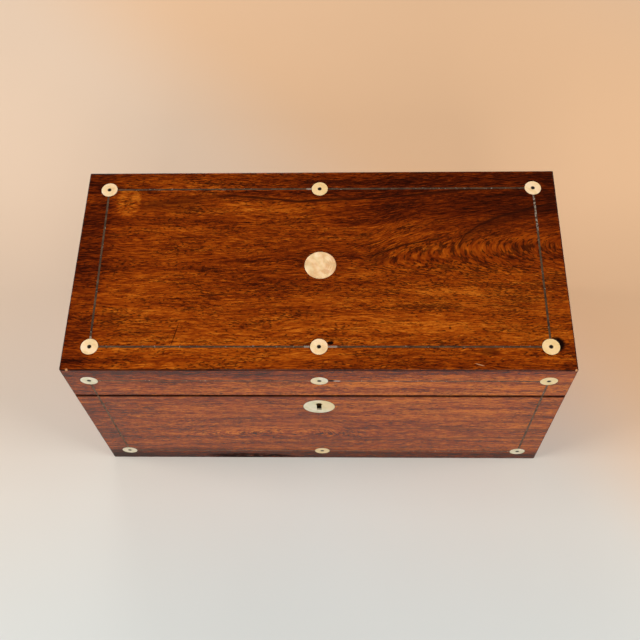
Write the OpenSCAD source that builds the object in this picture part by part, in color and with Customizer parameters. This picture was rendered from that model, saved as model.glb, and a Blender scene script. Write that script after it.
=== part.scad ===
// Small writing slope in rosewood: a flat topped box that parts along a slope
// and unfolds into one long sloping desk. Origin: middle of the underside,
// +X to the right, +Y to the hinged back, +Z up. Millimetres.

/* [Box] */
// Width of the closed box
box_w = 300; // [280:1:360]
// Depth of the closed box, lock face to hinge face
box_d = 142; // [136:1:170]
// Height of the closed box
box_h = 146; // [140:1:160]
// Height of the lid at the lock face
lid_front_h = 36.5; // [34:0.5:42]
// Thickness of the mahogany walls under the veneer
carcass_t = 9; // [8.6:0.1:11]
// Thickness of the bottom board and of the lid's panel
board_t = 6; // [4:0.5:8]
// Thickness of the rosewood veneer
veneer_t = 1.2; // [1:0.1:1.6]
// Radius of the outer arrises
edge_r = 1; // [0.4:0.1:1.4]
// Gap between the two rims when the box is shut
rim_gap = 0.3; // [0.2:0.1:0.6]
// Width of the dark seam between the veneer edges
seam_gap = 1.6; // [1:0.1:2.4]

/* [Inlay] */
// Width of the pewter lines
line_w = 1.2; // [0.8:0.1:2]
// Distance of the lines from the left and right sides
line_inset_x = 14.2; // [12:0.1:20]
// Distance of the top's back line from the back edge
line_inset_back = 13.6; // [12:0.1:20]
// Distance of the top's front line from the front edge
line_inset_front = 15.2; // [12:0.1:20]
// Lean to the right of the top's left line, from its back end to its front end
left_lean = 1.8; // [0:0.1:3]
// Distance right of the middle of the disc and of the middle roundel on each side of the front arris
middle_shift = 1.2; // [0:0.1:2]
// Distance of the front's upper line below the top
line_drop = 14.9; // [12:0.1:18]
// Height of the front's lower line above the underside
line_foot = 13.7; // [10:0.1:20]
// Diameter of the pearl roundels
roundel_d = 10.3; // [8:0.1:12]
// Diameter of the dark pip in each roundel
pip_d = 2; // [1:0.1:3]
// Diameter of the pearl disc in the middle of the lid
disc_d = 19.3; // [15:0.1:25]
// Diameter of the pearl escutcheon
escutcheon_d = 19.6; // [16:0.1:22]
// Depth of the escutcheon's centre below the front seam
escutcheon_drop = 16.9; // [15:0.1:18]
// Clearance round each inlaid piece
inlay_fit = 0.05; // [0.02:0.01:0.1]

/* [Writing flaps] */
// Thickness of each flap
flap_t = 5.8; // [5:0.1:7]
// Depth of a flap's face below its rim
flap_sink = 0.35; // [0.3:0.05:1]
// Gap between a flap and the walls round it
flap_gap = 0.6; // [0.4:0.1:1.2]
// Width of the wooden border round the leather
border_w = 12; // [8:1:20]
// Thickness of the leather
leather_t = 0.8; // [0.5:0.1:1.2]
// Depth of the leather's face below the border
leather_sink = 0.1; // [0.05:0.05:0.3]
// Radius of the thumb notch in a flap's free edge
notch_r = 8; // [6:0.5:10]
// Diameter of the flap pins
flap_pin_d = 2.5; // [2:0.1:3]
// Depth of a flap pin in the wall, and again in the flap
flap_pin_grip = 6; // [4:0.5:7]
// Width and height of the ledges that carry the flaps
ledge_w = 4; // [3:0.5:6]

/* [Pen end] */
// Depth of the pen compartment
pen_d = 36.8; // [34:0.2:40]
// Thickness of the partitions
partition_t = 4; // [3:0.5:5]
// Width of each inkwell pocket
pocket_w = 34; // [33:0.5:40]
// Room between an inkwell's cap and the shut lid's flap
cap_room = 6.1; // [5:0.1:8]
// Thickness of the deck
deck_t = 4; // [3:0.5:5]
// Height of the pen tray
tray_h = 16; // [14:0.5:18]
// Depth of the pen tray's top below the flap partition's top
tray_sink = 2; // [1:0.5:4]
// Width of the scoop in the pen tray
scoop_w = 28; // [24:0.5:30]
// Depth of the scoop in the pen tray
scoop_deep = 10; // [8:0.5:12]
// Width of each glass inkwell
bottle_w = 31; // [28:0.5:32]
// Height of the glass inkwell without its neck
bottle_h = 33; // [28:0.5:34]
// Diameter of the ink space in the glass
ink_d = 21; // [16:0.5:23]
// Height of the inkwell's cap
cap_h = 9; // [7:0.5:10]
// Diameter of the inkwell's cap
cap_d = 21; // [18:0.5:23]

/* [Box hinges] */
// Length of each box hinge
hinge_l = 38; // [30:1:50]
// Distance of each hinge's middle from the side of the box
hinge_inset = 55; // [40:1:70]
// Width of each hinge leaf
leaf_w = 9; // [8:0.1:9.4]
// Thickness of each hinge leaf
leaf_t = 1.2; // [1:0.1:1.6]
// Radius of the hinge barrel
barrel_r = 2.4; // [2:0.1:2.8]
// Radius of the hinge pin
pin_r = 1; // [0.8:0.1:1.2]
// Distance of the hinge axis behind the back face
axis_out = 0.2; // [0.1:0.05:0.5]
// Shank radius of the wood screws
screw_r = 0.8; // [0.6:0.1:1]
// Length of the wood screws
screw_l = 7; // [5:0.5:8]

/* [Lock] */
// Width of the lock's case
lock_w = 44; // [42:1:50]
// Depth of the lock's case into the wall
lock_deep = 7.5; // [7.3:0.1:7.9]
// Height of the lock below the rim
lock_h = 29; // [27:0.5:32]
// Width of the lock's plate on each side of the case
lock_ear = 7; // [6:0.5:9]
// Thickness of the lock's plate and walls
lock_t = 0.9; // [0.7:0.1:1]
// Distance of the two link hooks from the middle
hook_x = 9; // [8.5:0.5:10]
// Travel of the bolt
bolt_throw = 4.5; // [4:0.1:5]

/* [Hidden] */
$fn = 48;

// Colours, as the photograph shows them or as such boxes have them
rosewood = [0.42, 0.16, 0.06];
mahogany = [0.36, 0.15, 0.07];
pewter = [0.30, 0.28, 0.26];
pearl = [0.86, 0.80, 0.68];
ebony = [0.06, 0.05, 0.04];
brass = [0.72, 0.54, 0.26];
steel = [0.55, 0.55, 0.55];
leather = [0.20, 0.06, 0.05];
glass = [0.75, 0.82, 0.80, 0.5];

// Places worked out from the sizes above
big = box_w + box_d + box_h;
front_seam_z = box_h - lid_front_h;
back_seam_z = box_h / 2;
slope = atan((front_seam_z - back_seam_z) / box_d);
wall_t = carcass_t + veneer_t;
in_x = box_w / 2 - wall_t;
in_y = box_d / 2 - wall_t;
car_x = box_w / 2 - veneer_t;
car_y = box_d / 2 - veneer_t;
car_top = box_h - veneer_t;
line_x = box_w / 2 - line_inset_x;
line_back_y = box_d / 2 - line_inset_back;
line_front_y = line_inset_front - box_d / 2;
upper_z = box_h - line_drop;
keyhole_z = front_seam_z - escutcheon_drop;

// Height of the seam plane at a given y
function seam_z(y) = back_seam_z + (box_d / 2 - y) * tan(slope);
// Distance along the seam plane from the back arris to a given y at a depth below the plane
function along(y, deep = 0) = -(box_d / 2 - y) / cos(slope) + deep * tan(slope);

// Frame of the seam: origin on the back arris, +Y down the slope to the back, +Z square to the rims
module seam_frame() {
  translate([0, box_d / 2, back_seam_z]) rotate([-slope, 0, 0]) children();
}
// Keeps what lies at least deep below the seam plane
module under_seam(deep) {
  intersection() {
    children();
    seam_frame() translate([-big, -2 * big, -2 * big - deep]) cube([2 * big, 3 * big, 2 * big]);
  }
}
// Keeps what lies at least high above the seam plane
module over_seam(high) {
  intersection() {
    children();
    seam_frame() translate([-big, -2 * big, high]) cube([2 * big, 3 * big, 2 * big]);
  }
}
// A box between two corners
module block(low, high) {
  translate(low) cube(high - low);
}
// A rectangle with round corners, centred
module round_rect(w, h, r) {
  square([w - 2 * r, h], center = true);
  square([w, h - 2 * r], center = true);
  for (x = [-1, 1], y = [-1, 1]) translate([x * (w / 2 - r), y * (h / 2 - r)]) circle(r);
}
// The outside of the shut box, with its upright corners rounded
module upright_corners() {
  translate([0, 0, -1]) linear_extrude(box_h + 2) round_rect(box_w, box_d, edge_r);
}
// The outside of the shut box, with the long and the short top arrises rounded
module long_arrises() {
  translate([-box_w / 2 - 1, 0, box_h / 2]) rotate([90, 0, 90]) linear_extrude(box_w + 2)
    round_rect(box_d, box_h, edge_r);
}
module short_arrises() {
  translate([0, box_d / 2 + 1, box_h / 2]) rotate([90, 0, 0]) linear_extrude(box_d + 2)
    round_rect(box_w, box_h, edge_r);
}

// Inlay
// The corners of the top's lines in turn, the six places of its roundels, and the three of each front row
top_corners = [[-line_x + left_lean, line_front_y], [line_x, line_front_y],
  [line_x, line_back_y], [-line_x, line_back_y]];
top_spots = concat(top_corners, [[middle_shift, line_front_y], [0, line_back_y]]);
function row_spots(z) = [-line_x, z == upper_z ? middle_shift : 0, line_x];
// Upright discs in the top, and discs that face the front; a disc cut out of a bar reaches past both its faces
module top_disc(x, y, d, past = 0) {
  translate([x, y, box_h - veneer_t - past]) cylinder(h = veneer_t + 2 * past, d = d);
}
module front_disc(x, z, d) {
  translate([x, -box_d / 2, z]) rotate([-90, 0, 0]) cylinder(h = veneer_t, d = d);
}
// Bars of the lines; wide is added to them where a slot is cut for them
// Each top bar starts and ends inside a corner roundel's hole, clear of the next bar
module top_lines(wide = 0) {
  w = line_w + wide;
  tuck = roundel_d / 4;
  for (k = [0:3]) {
    run = top_corners[(k + 1) % 4] - top_corners[k];
    translate([top_corners[k][0], top_corners[k][1], box_h - veneer_t]) rotate([0, 0, atan2(run[1], run[0])])
      block([tuck, -w / 2, 0], [norm(run) - tuck, w / 2, veneer_t]);
  }
}
module front_lines(wide = 0) {
  w = line_w + wide;
  for (z = [line_foot, upper_z])
    block([-line_x - w / 2, -box_d / 2, z - w / 2], [line_x + w / 2, -car_y, z + w / 2]);
  for (s = [-1, 1])
    block([s * line_x - w / 2, -box_d / 2, line_foot], [s * line_x + w / 2, -car_y, upper_z]);
}
module front_spots(z, d) {
  for (x = row_spots(z)) front_disc(x, z, d);
}
// The whole front inlay as one cutting shape
module front_inlay_cut() {
  wide = 2 * inlay_fit;
  front_lines(wide);
  for (z = [line_foot, upper_z]) front_spots(z, roundel_d + wide);
}
// The pewter of the front between its roundels
module front_stringing() {
  difference() {
    front_lines();
    for (z = [line_foot, upper_z]) front_spots(z, roundel_d + 2 * inlay_fit);
  }
}

// Keyhole: a round eye over a slot
keyhole_r = 2.2;
keyhole_up = 3.2;
keyhole_slot_w = 3;
keyhole_slot_h = 8.8;
module keyhole(y0, y1, play = 0) {
  translate([0, y0, keyhole_z + keyhole_up]) rotate([-90, 0, 0]) cylinder(h = y1 - y0, r = keyhole_r + play);
  block([-keyhole_slot_w / 2 - play, y0, keyhole_z + keyhole_up - keyhole_slot_h - play],
    [keyhole_slot_w / 2 + play, y1, keyhole_z + keyhole_up]);
}

// Lock
lock_in_y = -in_y;
lock_out_y = lock_in_y - lock_deep;
lock_foot = seam_z(lock_in_y) - lock_h;
lock_cut = 0.05;
module lock_room(play) {
  block([-lock_w / 2 - play, lock_out_y - play, lock_foot - play], [lock_w / 2 + play, lock_in_y + 1, big]);
  block([-lock_w / 2 - lock_ear - play, lock_in_y - lock_t - play, lock_foot - play],
    [lock_w / 2 + lock_ear + play, lock_in_y + 1, big]);
}
// The hooks of the link plate, in the seam's frame
hook_in = 3;
hook_t = 1.8;
hook_w = 3;
hook_l = 7;
hook_y = along(lock_in_y - hook_in);
eye_deep = 4.4;
eye_r = 1;
slot_play = 0.5;
link_t = 1.2;
link_w = 34;
link_out = 4.2;
link_back = 2.6;
link_screw_x = 13;
link_screw_y = 0.8;
eye_y = box_d / 2 + hook_y * cos(slope) - eye_deep * sin(slope);
eye_z = back_seam_z - hook_y * sin(slope) - eye_deep * cos(slope);
// The bolt: a bar with two ears, each with a prong that enters a hook's eye
prong_r = 0.75;
prong_gap = 0.5;
ear_t = 2.5;
ear_w = 2.8;
bar_h = 2.6;
bar_end = 10;
bar_top = eye_z - 3.2;
bar_low = bar_top - bar_h;
ear_x = hook_t / 2 + prong_gap + bolt_throw + ear_t;
talon_r = 1.6;
run_gap = 0.25;
key_pin_r = 0.9;
post_w = 4;

// Box hinges
hinge_x = box_w / 2 - hinge_inset;
knuckles = 5;
knuckle_l = hinge_l / knuckles;
knuckle_gap = 0.15;
pin_play = 0.05;
barrel_play = 0.25;
leaf_play = 0.1;
rim = rim_gap / 2;
screw_head_r = 1.7;
screw_head_h = 0.9;
screw_step = 13;
screw_slot_w = 0.5;
screw_slot_h = 0.4;
screw_play = 0.04;
screw_sink = 0.05;
leaf_screw_y = -leaf_w * 0.6;

// Writing flaps, in the seam's frame
flap_top = rim + flap_sink;
flap_mid = flap_top + flap_t / 2;
flap_low = flap_top + flap_t;
flap_x = in_x - flap_gap;
fold_room = (flap_t / 2 + flap_gap) / cos(slope);
base_fold_y = along(in_y, flap_mid) - fold_room;
lid_fold_y = along(in_y, -flap_mid) - fold_room;
base_free_y = along(-in_y + pen_d, flap_low) + flap_gap / 2;
lid_free_y = along(-in_y) + flap_gap;
ledge_gap = 0.3;
ledge_open = 20;
leather_play = 0.05;
flap_pin_play = 0.06;
wall_pin_play = 0.02;
ledge_top = flap_low + ledge_gap;

// Pen end
pen_y = -in_y + pen_d;
pocket_x = in_x - pocket_w;
well_x = in_x - pocket_w / 2;
well_y = -in_y + pen_d / 2;
partition_top = seam_z(pen_y + partition_t) - ledge_top / cos(slope);
tray_top = partition_top - tray_sink;
tray_gap = 0.3;
tray_end = 6;
cleat_w = 4;
partition_sink = 1;
neck_r = 8;
neck_h = 4;
collar_h = 1.6;
cap_play = 0.2;
neck_bore_r = 5.5;
neck_play = 0.05;
glass_floor = 4;
glass_shoulder = 3;
glass_corner_r = 2.5;
glass_bevel = 2;
dome_h = 2.4;
dome_in = 0.8;
flutes = 24;
flute_r = 0.5;
flute_low = 1.2;
// The deck lies as far below the lid's flap as an inkwell with its cap needs
well_h = bottle_h + collar_h + cap_play + cap_h;
deck_top = seam_z(well_y + cap_d / 2) + flap_top / cos(slope) - cap_room - well_h;
deck_z = deck_top - deck_t;

// Small parts that repeat
// A round rod along X
module x_rod(x0, x1, r) {
  translate([x0, 0, 0]) rotate([0, 90, 0]) cylinder(h = x1 - x0, r = r);
}
// A countersunk wood screw with its head's face at the origin, pointing down; play widens it to a hole
module screw_shape(play = 0) {
  translate([0, 0, -screw_head_h]) cylinder(h = screw_head_h, r1 = screw_r + play, r2 = screw_head_r + play);
  translate([0, 0, -screw_l - play]) cylinder(h = screw_l + play, r = screw_r + play);
}
// The hole that a screw's shank needs in the wood
module pilot() {
  translate([0, 0, -screw_l - 2 * screw_play]) cylinder(h = screw_l, r = screw_r + screw_play);
}
module wood_screw() {
  difference() {
    screw_shape();
    block([-big, -screw_slot_w / 2, -screw_slot_h], [big, screw_slot_w / 2, 1]);
  }
}
// Where the lock's screws stand: behind the plate, pointing to the front
lock_screw_shares = [0.14, 0.72];
module lock_screw_spots() {
  for (x = [-1, 1], z = lock_screw_shares)
    translate([x * (lock_w + lock_ear) / 2, lock_in_y - screw_sink, lock_foot + z * lock_h])
      rotate([-90, 0, 0]) children();
}
// Where the link plate's screws stand, pointing up into the lid
module link_screw_spots() {
  seam_frame() for (x = [-1, 1])
    translate([x * link_screw_x, hook_y - link_screw_y, rim + screw_sink]) rotate([180, 0, 0]) children();
}
// Where the box hinges stand
module hinge_spots() {
  for (s = [-1, 1]) translate([s * hinge_x, 0, 0]) children();
}
// Puts a base leaf's shape (up = 0) into place, or turns it over for the lid (up = 1)
module leaf_side(up) {
  seam_frame() mirror([0, 0, up]) children();
}
module leaf_screw_spots(up) {
  hinge_spots() leaf_side(up) for (k = [-1, 0, 1])
    translate([k * screw_step, leaf_screw_y, -rim - screw_sink]) children();
}
module at_axis() {
  translate([0, box_d / 2 + axis_out, back_seam_z]) children();
}
// What a hinge takes out of the walls of the base (up = 0) or the lid (up = 1)
module hinge_room(up) {
  hinge_spots() {
    at_axis() x_rod(-hinge_l / 2 - barrel_play, hinge_l / 2 + barrel_play, barrel_r + barrel_play);
    leaf_side(up) block([-hinge_l / 2 - leaf_play, -leaf_w - leaf_play, -rim - leaf_t],
      [hinge_l / 2 + leaf_play, 2 * leaf_w, leaf_t]);
  }
  leaf_screw_spots(up) pilot();
}
// One leaf with its knuckles: the base has the even ones, the lid the odd
module hinge_leaf(up) {
  difference() {
    union() {
      leaf_side(up) block([-hinge_l / 2, -leaf_w, -rim - leaf_t], [hinge_l / 2, 0, -rim]);
      at_axis() for (k = [up:2:knuckles - 1])
        x_rod(-hinge_l / 2 + k * knuckle_l + knuckle_gap, -hinge_l / 2 + (k + 1) * knuckle_l - knuckle_gap, barrel_r);
    }
    at_axis() for (k = [1 - up:2:knuckles - 1])
      x_rod(-hinge_l / 2 + k * knuckle_l, -hinge_l / 2 + (k + 1) * knuckle_l, barrel_r + barrel_play);
    at_axis() x_rod(-hinge_l, hinge_l, pin_r + pin_play);
  }
}
module hinge_leaves(up) {
  difference() {
    hinge_spots() hinge_leaf(up);
    leaf_screw_spots(up) screw_shape(screw_play);
  }
}
// A flap's pivot pins, or the holes for them in the walls and in the flap
module flap_pin_rods(fold, up, play = 0, deep = 0) {
  leaf_side(up) translate([0, fold, -flap_mid]) for (s = [0, 1]) mirror([s, 0, 0])
    x_rod(flap_x - flap_pin_grip - deep, in_x + flap_pin_grip + deep, flap_pin_d / 2 + play);
}
// The leather's block; play widens it to its bed
module leather_block(free, fold, play = 0) {
  block([-flap_x + border_w - play, free + border_w - play, -flap_top - leather_sink - leather_t],
    [flap_x - border_w + play, fold - border_w + play, play > 0 ? 0 : -flap_top - leather_sink]);
}
// A writing flap: a board with a round fold edge, a bed for the leather and a thumb notch
module flap_board(free, fold) {
  difference() {
    union() {
      block([-flap_x, free, -flap_low], [flap_x, fold, -flap_top]);
      translate([0, fold, -flap_mid]) x_rod(-flap_x, flap_x, flap_t / 2);
    }
    leather_block(free, fold, leather_play);
    translate([0, free, -2 * flap_low]) cylinder(h = 2 * flap_low, r = notch_r);
    translate([0, fold, -flap_mid]) for (s = [0, 1]) mirror([s, 0, 0])
      x_rod(flap_x - flap_pin_grip - flap_gap, in_x, flap_pin_d / 2 + flap_pin_play);
  }
}

// Base
module base_bottom() {
  color(mahogany) block([-car_x, -car_y, 0], [car_x, car_y, board_t]);
}
module base_wall(low, high) {
  under_seam(rim) block([low[0], low[1], board_t], [high[0], high[1], box_h]);
}
module base_front_wall() {
  color(mahogany) difference() {
    base_wall([-car_x, -car_y], [car_x, -in_y]);
    lock_room(lock_cut);
    keyhole(-box_d, lock_in_y);
    lock_screw_spots() pilot();
  }
}
module base_back_wall() {
  color(mahogany) difference() {
    base_wall([-car_x, in_y], [car_x, car_y]);
    hinge_room(0);
  }
}
module base_side_wall() {
  difference() {
    base_wall([in_x, -in_y], [car_x, in_y]);
    flap_pin_rods(base_fold_y, 0, wall_pin_play);
  }
}
module base_left_wall() {
  color(mahogany) mirror([1, 0, 0]) base_side_wall();
}
module base_right_wall() {
  color(mahogany) base_side_wall();
}
module base_front_veneer() {
  color(rosewood) difference() {
    intersection() {
      under_seam(seam_gap / 2) block([-box_w / 2, -box_d / 2, 0], [box_w / 2, -car_y, box_h]);
      upright_corners();
    }
    front_inlay_cut();
    front_disc(0, keyhole_z, escutcheon_d + 2 * inlay_fit);
  }
}
module base_back_veneer() {
  color(rosewood) difference() {
    intersection() {
      under_seam(seam_gap / 2) block([-box_w / 2, car_y, 0], [box_w / 2, box_d / 2, box_h]);
      upright_corners();
    }
    hinge_room(0);
  }
}
module base_side_veneer() {
  under_seam(seam_gap / 2) block([car_x, -car_y, 0], [box_w / 2, car_y, box_h]);
}
module base_left_veneer() {
  color(rosewood) mirror([1, 0, 0]) base_side_veneer();
}
module base_right_veneer() {
  color(rosewood) base_side_veneer();
}
module base_stringing() {
  color(pewter) under_seam(seam_gap / 2) front_stringing();
}
module base_roundels() {
  color(pearl) difference() {
    front_spots(line_foot, roundel_d);
    front_spots(line_foot, pip_d + 2 * inlay_fit);
  }
}
module base_pips() {
  color(ebony) front_spots(line_foot, pip_d);
}
module escutcheon() {
  color(pearl) difference() {
    front_disc(0, keyhole_z, escutcheon_d);
    keyhole(-box_d, box_d);
  }
}

// Lock
module lock_case() {
  color(brass) {
    difference() {
      under_seam(rim) intersection() {
        lock_room(0);
        block([-box_w, -box_d, 0], [box_w, lock_in_y, box_h]);
      }
      under_seam(rim + link_t) block([-lock_w / 2 + lock_t, lock_out_y + lock_t, lock_foot + lock_t],
        [lock_w / 2 - lock_t, lock_in_y - lock_t, box_h]);
      seam_frame() for (s = [-1, 1]) translate([s * hook_x, hook_y, 0])
        block([-hook_t / 2 - slot_play, -hook_w / 2 - slot_play, -2 * link_t],
          [hook_t / 2 + slot_play, hook_w / 2 + slot_play, 2 * link_t]);
      keyhole(-box_d, lock_out_y + 2 * lock_t);
      lock_screw_spots() screw_shape(screw_play);
    }
    translate([0, 0, keyhole_z + keyhole_up]) rotate([-90, 0, 0]) translate([0, 0, lock_out_y + lock_t / 2])
      cylinder(h = lock_deep - lock_t, r = key_pin_r);
    for (x = [-hook_x - post_w, hook_x - post_w])
      block([x, lock_out_y + lock_t / 2, lock_foot + lock_t / 2],
        [x + post_w, lock_in_y - lock_t / 2, bar_low - run_gap]);
  }
}
module lock_screws() {
  color(brass) lock_screw_spots() wood_screw();
}
module lock_bolt() {
  color(steel) {
    difference() {
      block([-hook_x - ear_x, eye_y - ear_w / 2, bar_low], [bar_end, eye_y + ear_w / 2, bar_top]);
      translate([0, eye_y - ear_w, bar_low]) rotate([-90, 0, 0]) cylinder(h = 2 * ear_w, r = talon_r);
    }
    for (s = [-1, 1]) {
      block([s * hook_x - ear_x, eye_y - ear_w / 2, bar_low], [s * hook_x - ear_x + ear_t, eye_y + ear_w / 2, eye_z + 1]);
      translate([0, eye_y, eye_z]) x_rod(s * hook_x - ear_x + ear_t / 2, s * hook_x - hook_t / 2 - prong_gap, prong_r);
    }
  }
}
module link_plate() {
  color(brass) difference() {
    seam_frame() union() {
      block([-link_w / 2, hook_y - link_out, rim], [link_w / 2, hook_y + link_back, rim + link_t]);
      for (s = [-1, 1])
        block([s * hook_x - hook_t / 2, hook_y - hook_w / 2, -hook_l],
          [s * hook_x + hook_t / 2, hook_y + hook_w / 2, rim + link_t / 2]);
    }
    seam_frame() translate([0, hook_y, -eye_deep]) x_rod(-link_w, link_w, eye_r);
    link_screw_spots() screw_shape(screw_play);
  }
}
module link_plate_screws() {
  color(brass) link_screw_spots() wood_screw();
}

// Pen end
module pen_partition() {
  color(mahogany) block([-in_x, pen_y, board_t], [in_x, pen_y + partition_t, partition_top]);
}
module pocket_partition() {
  under_seam(rim + partition_sink)
    block([pocket_x - partition_t, -in_y, deck_top], [pocket_x, pen_y, box_h]);
}
module left_pocket_partition() {
  color(mahogany) mirror([1, 0, 0]) pocket_partition();
}
module right_pocket_partition() {
  color(mahogany) pocket_partition();
}
module pen_deck() {
  color(mahogany) block([-in_x, -in_y, deck_z], [in_x, pen_y, deck_top]);
}
// The tray is scooped by a round cutter whose radius gives the scoop its width and depth
tray_x = pocket_x - partition_t - tray_gap;
scoop_r = (scoop_w * scoop_w / 4 + scoop_deep * scoop_deep) / (2 * scoop_deep);
scoop_x = tray_x - tray_end - scoop_w / 2;
module pen_tray() {
  color(mahogany) difference() {
    block([-tray_x, -in_y + tray_gap, tray_top - tray_h], [tray_x, pen_y - tray_gap, tray_top]);
    translate([0, well_y, tray_top - scoop_deep + scoop_r]) {
      x_rod(-scoop_x, scoop_x, scoop_r);
      for (s = [-1, 1]) translate([s * scoop_x, 0, 0]) sphere(scoop_r);
    }
  }
}
module tray_cleats() {
  color(mahogany) for (s = [0, 1]) mirror([s, 0, 0])
    block([pocket_x - partition_t - cleat_w, -in_y, tray_top - tray_h - cleat_w],
      [pocket_x - partition_t, pen_y, tray_top - tray_h]);
}

// Inkwells
// Upright section of the glass, with its shoulders bevelled
module glass_section() {
  w = bottle_w / 2;
  polygon([[-w, 0], [w, 0], [w, bottle_h - glass_bevel], [w - glass_bevel, bottle_h],
    [glass_bevel - w, bottle_h], [-w, bottle_h - glass_bevel]]);
}
module inkwell() {
  color(glass) translate([well_x, well_y, deck_top]) difference() {
    union() {
      intersection() {
        linear_extrude(bottle_h) round_rect(bottle_w, bottle_w, glass_corner_r);
        translate([0, bottle_w, 0]) rotate([90, 0, 0]) linear_extrude(2 * bottle_w) glass_section();
        translate([-bottle_w, 0, 0]) rotate([90, 0, 90]) linear_extrude(2 * bottle_w) glass_section();
      }
      translate([0, 0, bottle_h - 1]) cylinder(h = neck_h + 1, r = neck_r);
    }
    translate([0, 0, glass_floor]) cylinder(h = bottle_h - glass_floor - glass_shoulder, d = ink_d);
    translate([0, 0, glass_floor]) cylinder(h = bottle_h + neck_h, r = neck_bore_r);
  }
}
module left_inkwell() {
  mirror([1, 0, 0]) inkwell();
}
module right_inkwell() {
  inkwell();
}
module inkwell_collars() {
  color(brass) for (s = [-1, 1]) translate([s * well_x, well_y, deck_top + bottle_h]) difference() {
    cylinder(h = collar_h, d = cap_d);
    translate([0, 0, -1]) cylinder(h = collar_h + 2, r = neck_r + neck_play);
  }
}
// A turned cap: a fluted drum under a low dome, bored to go over the neck
module inkwell_cap() {
  drum_h = cap_h - dome_h;
  dome_w = cap_d / 2 - dome_in;
  dome_r = (dome_w * dome_w + dome_h * dome_h) / (2 * dome_h);
  color(brass) translate([well_x, well_y, deck_top + bottle_h + collar_h + cap_play]) difference() {
    union() {
      cylinder(h = drum_h, d = cap_d);
      intersection() {
        translate([0, 0, cap_h - dome_r]) sphere(dome_r);
        cylinder(h = cap_h + 1, r = dome_w);
      }
    }
    translate([0, 0, -1]) cylinder(h = 1 + neck_h - collar_h + cap_play, r = neck_r + cap_play);
    for (k = [0:flutes - 1]) rotate([0, 0, k * 360 / flutes]) translate([cap_d / 2, 0, flute_low])
      cylinder(h = drum_h - 2 * flute_low, r = flute_r);
  }
}
module left_inkwell_cap() {
  mirror([1, 0, 0]) inkwell_cap();
}
module right_inkwell_cap() {
  inkwell_cap();
}

// Writing flap of the base
module base_ledges() {
  color(mahogany) seam_frame() for (s = [0, 1]) mirror([s, 0, 0])
    block([in_x - ledge_w, along(pen_y + partition_t, ledge_top + ledge_w), -ledge_top - ledge_w],
      [in_x, base_fold_y, -ledge_top]);
}
module base_flap() {
  color(mahogany) leaf_side(0) flap_board(base_free_y, base_fold_y);
}
module base_flap_leather() {
  color(leather) leaf_side(0) leather_block(base_free_y, base_fold_y);
}
module base_flap_pins() {
  color(steel) flap_pin_rods(base_fold_y, 0);
}

// Box hinges
module base_hinge_leaves() {
  color(brass) hinge_leaves(0);
}
module lid_hinge_leaves() {
  color(brass) hinge_leaves(1);
}
module hinge_pins() {
  color(steel) hinge_spots() at_axis() x_rod(-hinge_l / 2, hinge_l / 2, pin_r);
}
module base_hinge_screws() {
  color(brass) leaf_screw_spots(0) wood_screw();
}
module lid_hinge_screws() {
  color(brass) leaf_screw_spots(1) wood_screw();
}

// Lid
module lid_panel() {
  color(mahogany) block([-car_x, -car_y, car_top - board_t], [car_x, car_y, car_top]);
}
module lid_rail(low, high) {
  over_seam(rim) block([low[0], low[1], 0], [high[0], high[1], car_top - board_t]);
}
module lid_front_rail() {
  color(mahogany) difference() {
    lid_rail([-car_x, -car_y], [car_x, -in_y]);
    seam_frame() block([-link_w / 2 - lock_cut, hook_y - link_out - lock_cut, -link_t],
      [link_w / 2 + lock_cut, hook_y + link_back + lock_cut, rim + link_t]);
    link_screw_spots() pilot();
  }
}
module lid_back_rail() {
  color(mahogany) difference() {
    lid_rail([-car_x, in_y], [car_x, car_y]);
    hinge_room(1);
  }
}
module lid_side_rail() {
  difference() {
    lid_rail([in_x, -in_y], [car_x, in_y]);
    flap_pin_rods(lid_fold_y, 1, wall_pin_play);
  }
}
module lid_left_rail() {
  color(mahogany) mirror([1, 0, 0]) lid_side_rail();
}
module lid_right_rail() {
  color(mahogany) lid_side_rail();
}
module lid_top_veneer() {
  color(rosewood) difference() {
    intersection() {
      block([-box_w / 2, -box_d / 2, car_top], [box_w / 2, box_d / 2, box_h]);
      upright_corners();
      long_arrises();
      short_arrises();
    }
    top_lines(2 * inlay_fit);
    for (p = top_spots) top_disc(p[0], p[1], roundel_d + 2 * inlay_fit);
    top_disc(middle_shift, 0, disc_d + 2 * inlay_fit);
  }
}
module lid_front_veneer() {
  color(rosewood) difference() {
    intersection() {
      over_seam(seam_gap / 2) block([-box_w / 2, -box_d / 2, 0], [box_w / 2, -car_y, car_top]);
      upright_corners();
    }
    front_inlay_cut();
  }
}
module lid_back_veneer() {
  color(rosewood) difference() {
    intersection() {
      over_seam(seam_gap / 2) block([-box_w / 2, car_y, 0], [box_w / 2, box_d / 2, car_top]);
      upright_corners();
    }
    hinge_room(1);
  }
}
module lid_side_veneer() {
  over_seam(seam_gap / 2) block([car_x, -car_y, 0], [box_w / 2, car_y, car_top]);
}
module lid_left_veneer() {
  color(rosewood) mirror([1, 0, 0]) lid_side_veneer();
}
module lid_right_veneer() {
  color(rosewood) lid_side_veneer();
}
module lid_top_stringing() {
  color(pewter) difference() {
    top_lines();
    for (p = top_spots) top_disc(p[0], p[1], roundel_d + 2 * inlay_fit, veneer_t);
  }
}
module lid_front_stringing() {
  color(pewter) over_seam(seam_gap / 2) front_stringing();
}
module lid_top_roundels() {
  color(pearl) difference() {
    for (p = top_spots) top_disc(p[0], p[1], roundel_d);
    for (p = top_spots) top_disc(p[0], p[1], pip_d + 2 * inlay_fit);
  }
}
module lid_front_roundels() {
  color(pearl) difference() {
    front_spots(upper_z, roundel_d);
    front_spots(upper_z, pip_d + 2 * inlay_fit);
  }
}
module lid_pips() {
  color(ebony) {
    for (p = top_spots) top_disc(p[0], p[1], pip_d);
    front_spots(upper_z, pip_d);
  }
}
module lid_disc() {
  color(pearl) top_disc(middle_shift, 0, disc_d);
}

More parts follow.
